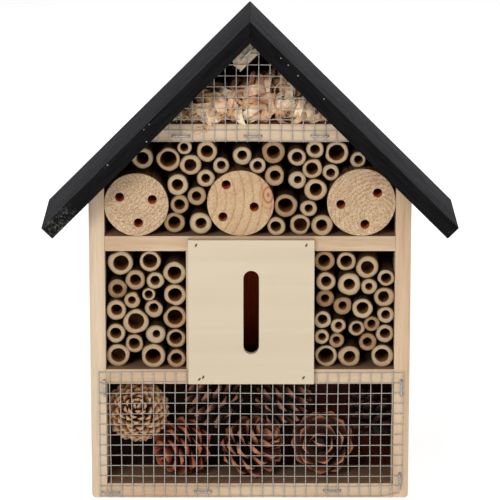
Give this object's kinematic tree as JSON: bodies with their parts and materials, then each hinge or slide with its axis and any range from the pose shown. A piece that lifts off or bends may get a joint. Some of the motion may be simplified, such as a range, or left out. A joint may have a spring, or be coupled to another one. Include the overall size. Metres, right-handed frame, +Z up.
{
  "type": "insect hotel",
  "caption": "Gabled timber insect hotel with drilled logs, cut canes, a slotted front panel, and pine cones and shavings behind welded mesh",
  "frame": {"origin": "middle of the footprint, on the surface that the hotel stands on", "axes": "+X to the right seen from the front, +Y from the front to the back, +Z up"},
  "size_m": [0.2384, 0.07, 0.2877],
  "materials": {
    "pine_board": "sanded, unfinished, slightly pink softwood with straight grain",
    "plywood": "sanded birch plywood, unfinished",
    "stained_board": "dark red-brown stained board, matt",
    "roof_paint": "thin black wood stain, matt, with brush marks and scuffs",
    "log_wood": "sawn end grain, rough",
    "mesh_wire": "galvanised, satin",
    "staple_wire": "galvanised, satin",
    "brad_steel": "plain steel, dull",
    "hanger_steel": "zinc plated, satin",
    "cone_scale": "open pine cone scales, dry",
    "shaving": "thin curled softwood shavings",
    "cane_wood": "sawn bamboo, dry"
  },
  "bodies": {
    "root": {"back_brads": "brad_steel", "back_panel": "stained_board", "base_board": "pine_board", "front_panel": "plywood", "gable_mesh": "mesh_wire", "gable_mesh_staples": "staple_wire", "gable_shelf": "pine_board", "hanger_plate": "hanger_steel", "hanger_screws": "hanger_steel", "left_canes_1": "cane_wood", "left_canes_2": "cane_wood", "left_canes_3": "cane_wood", "left_canes_4": "cane_wood", "left_canes_5": "cane_wood", "left_canes_6": "cane_wood", "left_partition": "pine_board", "left_side": "pine_board", "log_left": "log_wood", "log_middle": "log_wood", "log_right": "log_wood", "lower_mesh": "mesh_wire", "lower_mesh_staples": "staple_wire", "lower_shelf": "pine_board", "panel_brads": "brad_steel", "pine_cone_1": "cone_scale", "pine_cone_2": "cone_scale", "pine_cone_3": "cone_scale", "pine_cone_4": "cone_scale", "pine_cone_5": "cone_scale", "pine_cone_6": "cone_scale", "pine_cone_7": "cone_scale", "ridge_block": "pine_board", "right_canes_1": "cane_wood", "right_canes_2": "cane_wood", "right_canes_3": "cane_wood", "right_canes_4": "cane_wood", "right_canes_5": "cane_wood", "right_canes_6": "cane_wood", "right_partition": "pine_board", "right_side": "pine_board", "roof_brads": "brad_steel", "roof_left": "roof_paint", "roof_right": "roof_paint", "side_brads": "brad_steel", "upper_canes_1": "cane_wood", "upper_canes_2": "cane_wood", "upper_canes_3": "cane_wood", "upper_canes_4": "cane_wood", "upper_canes_5": "cane_wood", "upper_canes_6": "cane_wood", "upper_shelf": "pine_board", "wood_shavings": "shaving"}
  },
  "joints": []
}
